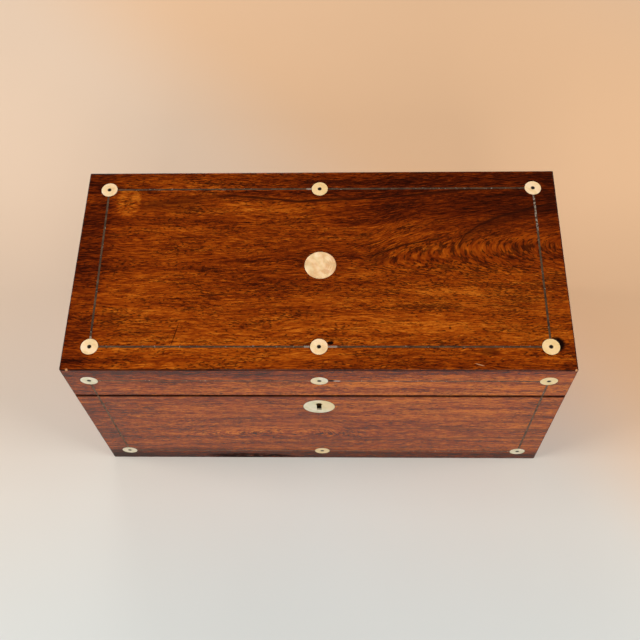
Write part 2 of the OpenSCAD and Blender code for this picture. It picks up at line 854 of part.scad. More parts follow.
// Writing flap of the lid
lid_ledge_y = along(-in_y, -ledge_top);
module lid_ledges() {
  color(mahogany) seam_frame() for (s = [0, 1]) mirror([s, 0, 0]) {
    block([in_x - ledge_w, lid_ledge_y, ledge_top], [in_x, lid_fold_y, ledge_top + ledge_w]);
    block([ledge_open, lid_ledge_y, ledge_top], [in_x - ledge_w / 2, lid_ledge_y + ledge_w, ledge_top + ledge_w]);
  }
}
module lid_flap() {
  color(mahogany) leaf_side(1) flap_board(lid_free_y, lid_fold_y);
}
module lid_flap_leather() {
  color(leather) leaf_side(1) leather_block(lid_free_y, lid_fold_y);
}
module lid_flap_pins() {
  color(steel) flap_pin_rods(lid_fold_y, 1);
}

base_bottom();
base_front_wall();
base_back_wall();
base_left_wall();
base_right_wall();
base_front_veneer();
base_back_veneer();
base_left_veneer();
base_right_veneer();
base_stringing();
base_roundels();
base_pips();
escutcheon();
lock_case();
lock_screws();
lock_bolt();
pen_partition();
left_pocket_partition();
right_pocket_partition();
pen_deck();
pen_tray();
tray_cleats();
left_inkwell();
right_inkwell();
inkwell_collars();
left_inkwell_cap();
right_inkwell_cap();
base_ledges();
base_flap();
base_flap_leather();
base_flap_pins();
base_hinge_leaves();
hinge_pins();
base_hinge_screws();
lid_hinge_leaves();
lid_hinge_screws();
lid_panel();
lid_front_rail();
lid_back_rail();
lid_left_rail();
lid_right_rail();
lid_top_veneer();
lid_front_veneer();
lid_back_veneer();
lid_left_veneer();
lid_right_veneer();
lid_top_stringing();
lid_front_stringing();
lid_top_roundels();
lid_front_roundels();
lid_pips();
lid_disc();
link_plate();
link_plate_screws();
lid_ledges();
lid_flap();
lid_flap_leather();
lid_flap_pins();
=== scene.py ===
"""A small rosewood writing slope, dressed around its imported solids.

The solids give every piece its shape and place. This file gives them their
finishes: french polished rosewood with its figure, waxed mahogany, tarnished
pewter, mother-of-pearl, ebony, brass, steel, glass and tooled leather.
"""
import math

import bpy
from mathutils import Matrix, Vector


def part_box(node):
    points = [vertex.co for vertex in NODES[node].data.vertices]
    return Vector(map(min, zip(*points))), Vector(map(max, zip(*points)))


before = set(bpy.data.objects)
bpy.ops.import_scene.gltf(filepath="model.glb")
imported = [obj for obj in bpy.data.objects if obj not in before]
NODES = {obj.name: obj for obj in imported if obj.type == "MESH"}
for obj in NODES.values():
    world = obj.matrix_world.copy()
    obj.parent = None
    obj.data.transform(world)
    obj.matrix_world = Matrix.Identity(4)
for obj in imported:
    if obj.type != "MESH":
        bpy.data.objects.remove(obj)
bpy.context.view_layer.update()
TO_MM = 1000.0


def corners(node):
    """A node's lowest and highest corner, in millimetres."""
    return [corner * TO_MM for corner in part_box(node)]


# Places and sizes in millimetres, read from the frame
TOP = corners("lid_top_veneer")[1]
TOP_SPOTS = corners("lid_top_roundels")
HIGH_SPOTS = corners("lid_front_roundels")
LOW_SPOTS = corners("base_roundels")
ESCUTCHEON = corners("escutcheon")
DISC = corners("lid_disc")
WELL = corners("right_inkwell")
ROUNDEL_R = (HIGH_SPOTS[1].z - HIGH_SPOTS[0].z) / 2
DISC_X = (DISC[0].x + DISC[1].x) / 2
DISC_R = (DISC[1].x - DISC[0].x) / 2
LINE_X = TOP_SPOTS[1].x - ROUNDEL_R
FRONT_LINE_Y = TOP_SPOTS[0].y + ROUNDEL_R
BACK_LINE_Y = TOP_SPOTS[1].y - ROUNDEL_R
HIGH_LINE_Z = HIGH_SPOTS[0].z + ROUNDEL_R
LOW_LINE_Z = LOW_SPOTS[0].z + ROUNDEL_R
KEYHOLE_Z = (ESCUTCHEON[0].z + ESCUTCHEON[1].z) / 2
ESCUTCHEON_R = (ESCUTCHEON[1].x - ESCUTCHEON[0].x) / 2
WELL_X = (WELL[0].x + WELL[1].x) / 2
WELL_Y = (WELL[0].y + WELL[1].y) / 2
MID_Z = TOP.z / 2
FRONT_SEAM_Z = corners("base_front_wall")[1].z
SLOPE = math.atan((FRONT_SEAM_Z - MID_Z) / (2 * TOP.y))

# Sizes in millimetres that no box in the frame gives: the lean to the right of the
# top's left line, from its back end to its front end, the radius of a pip, half the
# width of the painted shadow along the seam, and the radius of an inkwell's ink space
LEFT_LEAN = 1.8
PIP_R = 1.0
SEAM_SHADOW_HALF = 0.8
INK_R = 10.5

# Middles of the roundels, as (x, y) on the top and (x, z) on the front
TOP_PLACES = [
    (-LINE_X + LEFT_LEAN, FRONT_LINE_Y), (DISC_X, FRONT_LINE_Y), (LINE_X, FRONT_LINE_Y),
    (-LINE_X, BACK_LINE_Y), (0, BACK_LINE_Y), (LINE_X, BACK_LINE_Y),
]
FRONT_PLACES = [
    (-LINE_X, HIGH_LINE_Z), (DISC_X, HIGH_LINE_Z), (LINE_X, HIGH_LINE_Z),
    (-LINE_X, LOW_LINE_Z), (0, LOW_LINE_Z), (LINE_X, LOW_LINE_Z),
]


def rgb(red, green, blue):
    """A colour from its 0 to 255 screen values, as linear light with full alpha."""
    shares = [value / 255 for value in (red, green, blue)]
    linear = [s / 12.92 if s <= 0.04045 else ((s + 0.055) / 1.055) ** 2.4 for s in shares]
    return (*linear, 1.0)


class Field:
    """A socket's value over a surface. Operators on it add Math nodes."""

    def __init__(self, nodes, socket):
        self.nodes = nodes
        self.socket = socket

    def math(self, operation, *values):
        """A Math node of that operation on those values."""
        return self.nodes.node("Math", {"operation": operation}, dict(enumerate(values)))

    def __add__(self, other):
        return self.math("ADD", self, other)

    def __sub__(self, other):
        return self.math("SUBTRACT", self, other)

    def __rsub__(self, other):
        return self.math("SUBTRACT", other, self)

    def __mul__(self, other):
        return self.math("MULTIPLY", self, other)

    def __truediv__(self, other):
        return self.math("DIVIDE", self, other)

    def __pow__(self, other):
        return self.math("POWER", self, other)

    __radd__ = __add__

    def size(self):
        """Its distance from 0."""
        return self.math("ABSOLUTE", self)

    def sine(self):
        return self.math("SINE", self)

    def exponent(self):
        """The number e to the power of this value."""
        return self.math("EXPONENT", self)

    def zigzag(self, reach):
        """Runs from 0 up to reach and back, over and over."""
        return self.math("PINGPONG", self, reach)

    def least(self, *others):
        """The lowest of this value and the others."""
        lowest = self
        for other in others:
            lowest = self.math("MINIMUM", lowest, other)
        return lowest

    def most(self, *others):
        """The highest of this value and the others."""
        highest = self
        for other in others:
            highest = self.math("MAXIMUM", highest, other)
        return highest

    def rise(self, start, end):
        """0 up to start and 1 past end, smooth between; where start is the larger, it falls."""
        first, last = (0.0, 1.0) if start < end else (1.0, 0.0)
        sockets = {
            "Value": self, "From Min": min(start, end), "From Max": max(start, end),
            "To Min": first, "To Max": last,
        }
        return self.nodes.node("MapRange", {"interpolation_type": "SMOOTHSTEP"}, sockets)


class Nodes:
    """A node tree, in which one method adds every node."""

    def __init__(self, tree):
        self.tree = tree

    def node(self, kind, settings, sockets, output=0):
        """Adds a node of that type, sets its settings, then its sockets, and gives one output."""
        made = self.tree.nodes.new("ShaderNode" + kind)
        for name, value in settings.items():
            if name == "stops":
                elements = made.color_ramp.elements
                while len(elements) < len(value):
                    elements.new(0.5)
                for element, (position, colour) in zip(elements, value):
                    element.position, element.color = position, colour
            else:
                setattr(made, name, value)
        self.feed(made, sockets)
        return Field(self, made.outputs[output])

    def feed(self, target, sockets):
        """Gives each of those sockets of the target its Field or its constant."""
        for key, value in sockets.items():
            if isinstance(value, Field):
                self.tree.links.new(value.socket, target.inputs[key])
            else:
                target.inputs[key].default_value = value


class Finish(Nodes):
    """One material, built from nodes. Its x, y and z are places in millimetres."""

    def __init__(self, name):
        self.material = bpy.data.materials.new(name)
        self.material.use_nodes = True
        super().__init__(self.material.node_tree)
        self.shader = self.tree.nodes["Principled BSDF"]
        place = self.node("TexCoord", {}, {}, "Object")
        parts = [self.node("SeparateXYZ", {}, {"Vector": place}, axis) for axis in "XYZ"]
        self.x, self.y, self.z = (part * TO_MM for part in parts)

    def point(self, x, y, z):
        return self.node("CombineXYZ", {}, {"X": x, "Y": y, "Z": z})

    def noise(self, x, y, z=0.0, detail=2.0, rough=0.5):
        """Soft noise about 0.5, with blots one unit across."""
        point = self.point(x, y, z)
        sockets = {"Vector": point, "Scale": 1.0, "Detail": detail, "Roughness": rough}
        return self.node("TexNoise", {}, sockets)

    def waver(self, x, y, z, reach):
        """Soft noise about 0, that stays within half of that reach on either side."""
        return (self.noise(x, y, z) - 0.5) * reach

    def cells(self, x, y, z):
        """Distance to the nearest of scattered points, one to a unit cell."""
        return self.node("TexVoronoi", {}, {"Vector": self.point(x, y, z), "Scale": 1.0})

    def mix(self, share, first, second):
        """First colour where share is 0, second where it is 1, by the Mix node's colour sockets."""
        return self.node("Mix", {"data_type": "RGBA"}, {0: share, 6: first, 7: second}, 2)

    def ramp(self, value, *stops):
        """Colours at set values from 0 to 1, blended between."""
        return self.node("ValToRGB", {"stops": stops}, {0: value})

    def shade(self, colour, factor):
        """A colour made lighter or darker by a factor."""
        return self.node("VectorMath", {"operation": "SCALE"}, {0: colour, "Scale": factor})

    def close(self, base, rough, height=None, depth=0.1, **others):
        """Feeds the shader. Height from 0 to 1 raises the surface by up to depth millimetres."""
        sockets = {name.replace("_", " "): value for name, value in others.items()}
        self.feed(self.shader, {"Base Color": base, "Roughness": rough, **sockets})
        if height is not None:
            bump = {"Strength": 1.0, "Distance": depth / TO_MM, "Height": height}
            self.feed(self.shader, {"Normal": self.node("Bump", {}, bump)})
        return self.material


# Rosewood

def streaks(wood, along, grain, seed):
    """Tone about 0.5: broad bands, narrower streaks and fine threads along the grain."""
    bands = wood.noise(along / 120, grain / 13, seed, 3.0)
    narrow = wood.noise(along / 35, grain / 2.4, seed + 11.0, 3.0, 0.6)
    threads = wood.noise(along / 8, grain / 0.75, seed + 17.0, 2.0, 0.75)
    shimmer = wood.noise(along / 5, grain / 3, seed + 23.0)
    return bands * 0.8 + narrow * 0.25 + threads * 1.6 + shimmer * 0.2 - 0.925


def pores(wood, along, grain, seed, more):
    """Dark dashes and hairlines along the grain, in crowds, denser where more is larger."""
    crowd = wood.noise(along / 34, grain / 11, seed + 3.0) + more
    dashes = (wood.noise(along / 2.4, grain / 0.6, seed) + crowd * 0.4).rise(0.72, 0.86)
    hairs = (wood.noise(along / 14, grain / 0.8, seed + 7.0) + crowd * 0.3).rise(0.72, 0.84)
    return dashes.most(hairs * 0.7)


def curled(across, lean, roundness, drop, near):
    """The place across the grain: in level lines where near is 0, in nested curves where it is 1.

    The curves lie about the line across = lean, are round at their tips by
    roundness, and open out to the side to which drop grows.
    """
    nested = ((across - lean) ** 2 + roundness ** 2) ** 0.5 - roundness - drop
    level = across.size()
    return level + (nested - level) * near


def hill(across, middle, spread):
    """1 on the line across = middle, falling to 0 on both sides as a bell of that spread."""
    return (((across - middle) / spread) ** 2 * -1.0).exponent()


def path(wood, along, *points):
    """The place across the grain of a line through those points, (along, across), in order."""
    start, end = points[0][0], points[-1][0]
    lowest = min(across for _, across in points)
    reach = max(across for _, across in points) - lowest
    stops = [
        ((place - start) / (end - start), (*[(across - lowest) / reach] * 3, 1.0))
        for place, across in points
    ]
    return wood.ramp((along - start) / (end - start), *stops) * reach + lowest


def vein(wood, distance, width, seed):
    """A dark line where distance is near 0, that swells and thins along its length."""
    swell = wood.noise(wood.x / 18, wood.y / 40, seed + wood.z / 40) * (2 * width)
    return (distance.size() / swell).rise(1.0, 0.2)


def oval(along, across, wide, high):
    """1 in an oval of those half sizes about the origin, soft at its rim."""
    return ((along / wide) ** 2 + (across / high) ** 2).rise(1.7, 0.6)


def arris_wear_and_shade(wood, *edges):
    """Dark on the arrises, partly grime and wear and partly painted shade: edges are the distances
    in from them.
    """
    patchy = wood.noise(wood.x / 12, wood.y / 12, wood.z / 12)
    return (edges[0].least(*edges[1:]) - patchy * 0.8).rise(0.5, 0.0) * 0.8


def rims(along, across, spots, radius):
    """1 in discs of that radius about the spots, falling to 0 over the filler round them."""
    filler = 0.55
    discs = [
        ((along - a) ** 2 + (across - b) ** 2).rise((radius + filler) ** 2, radius ** 2)
        for a, b in spots
    ]
    return discs[0].most(*discs[1:])


def polished(wood, tone, dark, grime_and_shade, pale, sheen=0.65):
    """French polish over wood of that tone, with dark pores and veins, grime with painted shade,
    and pale chips.
    """
    colour = wood.ramp(
        tone,
        (0.0, rgb(40, 9, 2)),
        (0.25, rgb(82, 24, 3)),
        (0.5, rgb(125, 47, 5)),
        (0.75, rgb(160, 72, 9)),
        (1.0, rgb(194, 104, 24)),
    )
    colour = wood.mix(dark, colour, rgb(40, 12, 4))
    # Near black for grime, for painted shade at the arrises and for painted shadow along the seam.
    colour = wood.mix(grime_and_shade, colour, rgb(22, 8, 5))
    colour = wood.mix(pale, colour, rgb(196, 142, 98))
    return wood.close(
        colour, 0.4 + dark * 0.2 + grime_and_shade * 0.2, tone - dark, 0.03,
        Specular_IOR_Level=0.0, Coat_Weight=sheen - grime_and_shade * 0.5,
        Coat_Roughness=0.08, Coat_IOR=1.5,
    )


def top_tone(wood, grain, seed, curl):
    """The top's streaks, milder in the curl, with darker and lighter regions that are partly
    painted light, and a glow that is partly figure and partly painted reflection.
    """
    x, y = wood.x, wood.y
    tone = 0.54 + (streaks(wood, x, grain, seed + 1.0) - 0.5) * (1 - curl * 0.4)
    # The darker back right and the lighter front are partly the wood's tone and partly painted
    # light.
    tone = tone - y.rise(18, 46) * x.rise(-60, 60) * 0.3 - y.rise(52, 66) * 0.04
    tone = tone + y.rise(4, -44) * 0.15 - oval(x + 30, y - 8, 45, 22) * 0.06
    tone = tone + oval(x - 70, y + 16, 60, 14) * 0.06 + y.rise(56, 64) * x.rise(-20, 60) * 0.07
    # The darker margins, most of all at the left, are partly wear and partly painted dark
    # reflection.
    tone = tone - x.rise(-128, -140) * 0.18 - x.rise(136, 146) * 0.08 - y.rise(-56, -66) * 0.14
    tone = tone - x.rise(-108, -136) * 0.1 - oval(x - 118, y - 45, 36, 9) * 0.1
    # Partly the figure's bright patches and partly a painted warm reflection in the polish at the
    # back left.
    figure_and_painted_sheen = oval(x + 122, y - 49, 7, 12).most(
        oval(x + 78, y - 57, 26, 4) * 0.6,
        oval(x + 20, y - 36, 34, 8) * 0.4,
    )
    return tone + figure_and_painted_sheen * wood.noise(x / 5, grain / 2.5, 6.0).rise(0.25, 0.6) * 0.4


def top_veins(wood, wave):
    """Dark veins: along the back, and in from the right edge round the large and small curls."""
    x, y = wood.x, wood.y
    back_path = path(
        wood, x, (-113, 46.2), (-92, 48.7), (-76, 51.2), (-55, 52.4), (-28, 49.6), (-14, 47.6),
        (16, 49.4), (32, 49.6), (58, 52.3), (90, 56), (118, 57.5),
    )
    back = vein(wood, y - back_path + wave * 0.1, 1.5, 1.0) * x.rise(-85, -55) * x.rise(125, 105)
    back_shade = hill(y - back_path, -1.5, 4) * x.rise(-120, -108) * x.rise(-60, -85) * 0.6
    edge_path = path(
        wood, x, (84, 4), (85.5, 13), (91, 22), (100, 29), (113, 35.5), (133, 42), (150, 46),
    )
    edge = vein(wood, y - edge_path + wave * 0.15, 1.5, 4.0) * x.rise(83, 87)
    echo = vein(wood, y - edge_path + 5 + wave * 0.3, 1.1, 9.0) * x.rise(92, 104) * 0.6
    edge_shade = hill(y - edge_path, -2, 4) * x.rise(84, 92) * x.rise(150, 128) * 0.55
    small_path = path(wood, x, (29, 0), (31, 4), (36, 8.5), (53, 14.5), (72, 19), (84, 22))
    small = vein(wood, y - small_path + wave * 0.15, 1.0, 7.0) * x.rise(29, 34) * x.rise(84, 70)
    tip_blot = oval(x - 36, y - 5.5, 8, 4) * 0.45
    back_blot = oval(x + 88, y - 43, 12, 4) * 0.35
    return back.most(edge, echo, edge_shade, small, back_shade, tip_blot, back_blot)


def top_grime_and_shade(wood):
    """The arrises with wear and painted shade, dark filler beside three roundels, a smudge, a
    scratch and the discs' rims.
    """
    x, y = wood.x, wood.y
    arrises = arris_wear_and_shade(wood, TOP.x - x.size(), TOP.y - y.size())
    filler = oval(x - LINE_X - 3.6, y - FRONT_LINE_Y - 1.6, 4.2, 4.4).most(
        oval(x - 7.8, y - FRONT_LINE_Y - 2.4, 1.8, 1.1),
        oval(x - 7.2, y - BACK_LINE_Y, 2.2, 0.9),
    )
    smudge = oval(x - 100.3, y + 59.2, 5.5, 2.4) * 0.45
    scratch = oval(x + 84.2 - (y + 48) * 0.233, y + 48, 0.35, 7.5) * 0.7
    outlines = rims(x, y, TOP_PLACES, ROUNDEL_R).most(rims(x, y, [(DISC_X, 0)], DISC_R))
    return arrises.most(filler, smudge, scratch, outlines * 0.7)


def top_rosewood():
    """The top: level figure at the left, nested curves at the right, veins, grime with painted
    shade at the arrises, and chips.
    """
    wood = Finish("rosewood_top")
    x, y = wood.x, wood.y
    wave = wood.waver(x / 70, y / 45, 2.0, 9) + wood.waver(x / 9, y / 5, 5.0, 1.7)
    past_tip = (x - 29).most(0.0)
    near = hill(y, 12, 34) * x.rise(10, 45)
    drop = past_tip * 0.1 + (x - 85).most(0.0) * 0.18
    grain = curled(y + wave - 1, past_tip * 0.14, x.rise(29, 90) * 26 + 2, drop, near)
    seed = y * 0.12
    tone = top_tone(wood, grain, seed, near * x.rise(68, 92) * hill(y, 14, 18))
    crowded = oval(x - 85, y + 2, 60, 26) * 0.12
    dark = (pores(wood, x, grain, seed + 4.0, crowded) * 0.8).most(top_veins(wood, wave) * 0.85)

    # Pale chips at the two front corners and a rub near the front arris
    left_chip = oval(x + 145.6, y + TOP.y - 0.3, 0.7, 0.6)
    right_chip = oval(x - 148.7, y + TOP.y - 0.3, 0.6, 0.6)
    rub = oval(x - 94, y + 67.4 + (x - 94) * 0.3, 2.4, 0.3)
    pale = left_chip.most(right_chip, rub) * 0.8
    return polished(wood, tone, dark, top_grime_and_shade(wood), pale)


def front_tone(wood, grain, seed):
    """The front's streaks, with its darker and lighter regions."""
    x, z = wood.x, wood.z
    tone = streaks(wood, x, grain, seed + 31.0) * 1.3 - 0.02
    tone = tone + oval(x - 62, z - 92, 60, 14) * 0.1 - oval(x - 20, z - 34, 110, 16) * 0.07
    tone = tone - z.rise(TOP.z - 15, TOP.z - 4) * 0.25 - z.rise(22, 4) * 0.38
    tone = tone + z.rise(108, 114) * z.rise(134, 126) * x.rise(-120, 60) * 0.14
    return tone - x.rise(-112, -145) * 0.15 + x.rise(-10, 60) * 0.08


def front_grime_and_shade(wood):
    """Arrises with wear and painted shade, painted shadow along the seam, a black stain at the
    foot, filler, the discs' rims and darkening towards the foot.
    """
    x, z = wood.x, wood.z
    # Painted shadow: a dark band along the seam, where shade falls under the lid's edge.
    shaded_seam = (z - FRONT_SEAM_Z).size() - 0.3 - SEAM_SHADOW_HALF
    arrises = arris_wear_and_shade(wood, TOP.x - x.size(), z, TOP.z - z, shaded_seam)
    stain = oval(x + 50, z - 3 + (x + 50) * 0.03, 30, 5.5)
    stain = stain * wood.noise(x / 9, z / 3, 2.0).rise(0.3, 0.5)
    filler = oval(x - 8.6, z - HIGH_LINE_Z - 0.4, 2.4, 1.3)
    escutcheon = rims(x, z, [(0, KEYHOLE_Z)], ESCUTCHEON_R)
    outlines = rims(x, z, FRONT_PLACES, ROUNDEL_R).most(escutcheon)
    return arrises.most(stain * 0.9, filler, outlines * 0.7, z.rise(24, 6) * 0.3)


def front_rosewood():
    """The front, lid and base alike: level streaks, with nested curves left of the middle."""
    wood = Finish("rosewood_front")
    x, z = wood.x, wood.z
    wave = wood.waver(x / 60, z / 30, 8.0, 7) + wood.waver(x / 8, z / 4, 9.0, 1.8)
    past_tip = (x + 92).most(0.0) * x.rise(40, -20)
    near = hill(z, 46, 24) * x.rise(-110, -80) * x.rise(60, -10)
    roundness = x.rise(-92, -50) * 16 + 2
    grain = curled(z + wave - 44, past_tip * 0.12, roundness, past_tip * 0.16, near) * 0.9
    seed = z * 0.16
    high_band = vein(wood, z - 58 + x * 0.02 + wave, 1.8, 3.0) * x.rise(0, 40)
    low_band = vein(wood, z - 34 - x * 0.05 + wave, 2.4, 5.0) * x.rise(-20, 20)
    bands = high_band.most(low_band) * 0.6
    dark = (pores(wood, x, grain, seed + 14.0, 0.02) * 0.7).most(bands)
    return polished(wood, front_tone(wood, grain, seed), dark, front_grime_and_shade(wood), 0.0, 0.54)


def plain_rosewood(name, along_axis, half_length, seed):
    """The sides and the back: level streaks from the same log, along Y or X."""
    wood = Finish(name)
    along, z = getattr(wood, along_axis), wood.z
    wave = wood.waver(along / 60, z / 30, seed, 8) + wood.waver(along / 9, z / 5, seed + 1.0, 1.6)
    grain = z + wave
    tone = streaks(wood, along, grain, seed + 2.0)
    band = vein(wood, z - 62 + along * 0.06 + wave * 1.6, 2.0, seed) * 0.6
    dark = (pores(wood, along, grain, seed + 5.0, 0.0) * 0.75).most(band)
    # Painted shadow along the sloping seam, and painted shade with wear at the arrises.
    shaded_seam = (z - MID_Z - (TOP.y - wood.y) * math.tan(SLOPE)).size() - SEAM_SHADOW_HALF
    grime_and_shade = arris_wear_and_shade(wood, half_length - along.size(), z, TOP.z - z, shaded_seam)
    return polished(wood, tone, dark, grime_and_shade, 0.0)


# The other finishes

def mahogany(name, along_axis, across_axis, seed, light=1.0):
    """Waxed mahogany: ribbon stripes and open pores along one axis, and painted shade in the
    keyhole's bore.
    """
    wood = Finish(name)
    along, across = getattr(wood, along_axis), getattr(wood, across_axis)
    third = wood.x + wood.y + wood.z - along - across
    grain = across + third * 0.7 + wood.waver(along / 80, across / 30, seed, 6)
    ribbon = wood.noise(along / 120, grain / 7, seed + 1.0, 2.0)
    threads = wood.noise(along / 30, grain / 1.1, seed + 2.0, 2.0, 0.6)
    specks = wood.noise(along / 4.5, grain / 0.45, seed + 3.0).rise(0.66, 0.8)
    handled = wood.noise(wood.x / 40, wood.y / 40, wood.z / 40, 3.0).rise(0.45, 0.75)
    # Painted shade: the wall round the keyhole is made nearly black, where shade fills the keyhole.
    keyhole_shade = oval(wood.x, wood.z - KEYHOLE_Z, 4.5, 7) * wood.y.rise(-52, -60)
    colour = wood.ramp(
        ribbon * 0.9 + threads * 0.8 - 0.35,
        (0.1, rgb(84, 38, 20)),
        (0.45, rgb(126, 64, 36)),
        (0.8, rgb(158, 92, 54)),
    )
    colour = wood.mix(specks * 0.6, colour, rgb(52, 24, 14))
    colour = wood.shade(colour, (1 - handled * 0.22) * (1 - keyhole_shade * 0.95) * light)
    return wood.close(
        colour, 0.48 + handled * 0.12 + specks * 0.1, threads - specks * 0.6, 0.04,
        Coat_Weight=0.15, Coat_Roughness=0.3,
    )


def pewter():
    """Tarnished pewter line: dark grey brown, lighter on the front, with rubbed bright places."""
    metal = Finish("pewter")
    x, y, z = metal.x, metal.y, metal.z
    patch = metal.noise(x / 4, y / 4, z / 4, 3.0)
    rubbed = metal.noise(x / 1.6, y / 1.6, z / 1.6, 3.0, 0.7).rise(0.60, 0.74)
    worn_side = x.rise(LINE_X - 2, LINE_X) * y.rise(22, 30)
    worn_side = worn_side * metal.noise(x / 1.2, y / 1.6, z).rise(0.46, 0.58)

    # Short bright ends of the top's lines beside three of its roundels, and one on the front
    stubs = oval(x + 6.6, y - BACK_LINE_Y, 1.6, 2).most(
        oval(x - 8.8, y - FRONT_LINE_Y, 2.6, 2),
        oval(x + 6.0, y - FRONT_LINE_Y, 1.4, 2),
        oval(x + LINE_X, y - FRONT_LINE_Y - 5.6, 3, 1.2),
    )
    stubs = stubs * z.rise(TOP.z - 2, TOP.z - 1)
    bright = rubbed.most(worn_side, stubs, oval(x - 11.6, z - HIGH_LINE_Z, 1.8, 1.0))
    colour = metal.ramp(patch, (0.3, rgb(52, 35, 23)), (0.7, rgb(92, 68, 46)))
    below_top = z.rise(TOP.z - 1, TOP.z - 3)
    colour = metal.mix(below_top * patch.rise(0.3, 0.7) * 0.6, colour, rgb(116, 80, 58))
    colour = metal.mix(bright, colour, rgb(206, 186, 168))
    return metal.close(
        colour, 0.55 - bright * 0.2, patch, 0.05,
        Metallic=0.15 + bright * 0.55, Specular_IOR_Level=0.25,
    )


def pearl(name, cloud, seed):
    """Mother-of-pearl: warm cream on the top and greyer on the front, faintly pink and green."""
    shell = Finish(name)
    x, y, z = shell.x, shell.y, shell.z
    drift = shell.noise(x / 9, y / 9, z / 9 + seed)
    layers = ((x * 0.8 + y * 0.6 + z * 0.5) * 0.9 + drift * 14).sine() * 0.5 + 0.5
    play = drift * 0.5 + layers * 0.2 + cloud(shell) * 0.5 - 0.1
    warm = shell.ramp(
        play, (0.1, rgb(226, 178, 128)), (0.4, rgb(246, 210, 160)), (0.8, rgb(255, 232, 194)),
    )
    cool = shell.ramp(
        play, (0.1, rgb(188, 176, 140)), (0.4, rgb(208, 199, 166)), (0.8, rgb(226, 220, 200)),
    )
    colour = shell.mix(z.rise(TOP.z - 5, TOP.z - 3), cool, warm)
    colour = shell.mix(layers.rise(0.75, 1.0) * 0.14, colour, rgb(238, 190, 176))
    colour = shell.mix(layers.rise(0.25, 0.0) * 0.12, colour, rgb(196, 214, 178))

    # Some pieces are yellower, above all two of the front's roundels; each pip's hole is dark
    yellower = shell.noise(x / 37, y / 37, z / 37 + seed, 0.0).rise(0.56, 0.66) * 0.4
    yellow = oval(x - LINE_X, z - HIGH_LINE_Z, 8, 8).most(oval(x, z - LOW_LINE_Z, 8, 8))
    colour = shell.mix(yellower.most(yellow * 0.55), colour, rgb(232, 192, 110))
    holes = rims(x, y, TOP_PLACES, PIP_R).most(rims(x, z, FRONT_PLACES, PIP_R))
    colour = shell.mix(holes * 0.9, colour, rgb(30, 22, 16))
    return shell.close(
        colour, 0.3 + drift * 0.1, layers, 0.01,
        Specular_IOR_Level=0.3, Coat_Weight=0.5, Coat_Roughness=0.12,
        Thin_Film_Thickness=380.0, Thin_Film_IOR=1.4,
    )


def small_clouds(shell):
    """Soft clouds for the roundels and the escutcheon."""
    return shell.noise(shell.x / 2.4, shell.y / 2.4, shell.z / 2.4)


def disc_clouds(shell):
    """The top's disc: patches, lighter at the left, ring marks at the right and a brown spot."""
    x, y = shell.x - DISC_X, shell.y
    patches = shell.waver(x / 6, y / 6, 3.4, 3.4) - 0.1 - x * 0.03
    rings = ((x ** 2 + y ** 2) ** 0.5 * 4.5).sine() * x.rise(2, 6) * 0.18
    return patches + rings - oval(x - 3.2, y + 4.6, 2.4, 1.5) * 0.6


def ebony():
    """Ebony pips: near black, with brown flecks."""
    wood = Finish("ebony")
    flecks = wood.noise(wood.x / 0.5, wood.y / 0.5, wood.z / 0.5)
    colour = wood.ramp(flecks, (0.4, rgb(14, 10, 9)), (0.8, rgb(46, 32, 24)))
    return wood.close(colour, 0.5 + flecks * 0.2, Specular_IOR_Level=0.15)


def brass(name, light, dull):
    """Old brass: light in places and dull in others, with brown spots and file marks along X."""
    metal = Finish(name)
    x, y, z = metal.x, metal.y, metal.z
    tarnish = metal.noise(x / 14, y / 14, z / 14, 4.0, 0.6).rise(0.38, 0.72)
    spots = metal.noise(x / 1.3, y / 1.3, z / 1.3, 2.0).rise(0.66, 0.78)
    marks = metal.noise(x / 9, y / 0.35, z / 0.35, 2.0)
    colour = metal.mix(tarnish, rgb(*light), rgb(*dull))
    colour = metal.mix(spots * 0.6, colour, rgb(70, 48, 24))
    rough = 0.24 + tarnish * 0.18 + marks * 0.1
    return metal.close(colour, rough, marks, 0.02, Metallic=0.95 - spots * 0.4)


def steel():
    """Steel gone grey, with rust freckles and file marks along X."""
    metal = Finish("steel")
    x, y, z = metal.x, metal.y, metal.z
    rust = metal.noise(x / 1.8, y / 1.8, z / 1.8, 3.0).rise(0.6, 0.75)
    marks = metal.noise(x / 8, y / 0.3, z / 0.3)
    colour = metal.ramp(marks, (0.3, rgb(112, 112, 114)), (0.7, rgb(158, 157, 156)))
    colour = metal.mix(rust * 0.7, colour, rgb(96, 52, 30))
    return metal.close(colour, 0.3 + rust * 0.3, marks, 0.02, Metallic=0.95 - rust * 0.6)


def glass():
    """Clear cast glass, faintly green, with dried ink low down in the well."""
    bottle = Finish("inkwell_glass")
    x, y, z = bottle.x, bottle.y, bottle.z
    floor = WELL[0].z
    from_middle = (x.size() - WELL_X) ** 2 + (y - WELL_Y) ** 2
    in_well = from_middle.rise((INK_R + 1.7) ** 2, (INK_R + 0.1) ** 2)
    in_well = in_well * z.rise(floor + 2, floor + 3.8)
    tide = z + bottle.noise(x / 4, y / 4, z / 8) * 9
    ink = in_well * tide.rise(floor + 16, floor + 12)
    bubbles = bottle.noise(x / 2.2, y / 2.2, z / 2.2).rise(0.68, 0.76)
    colour = bottle.mix(ink, rgb(232, 244, 238), rgb(24, 26, 44))
    colour = bottle.mix(bubbles * 0.12, colour, rgb(170, 190, 182))
    return bottle.close(
        colour, 0.04 + ink * 0.3, bubbles, 0.03, Transmission_Weight=0.7, IOR=1.5,
    )


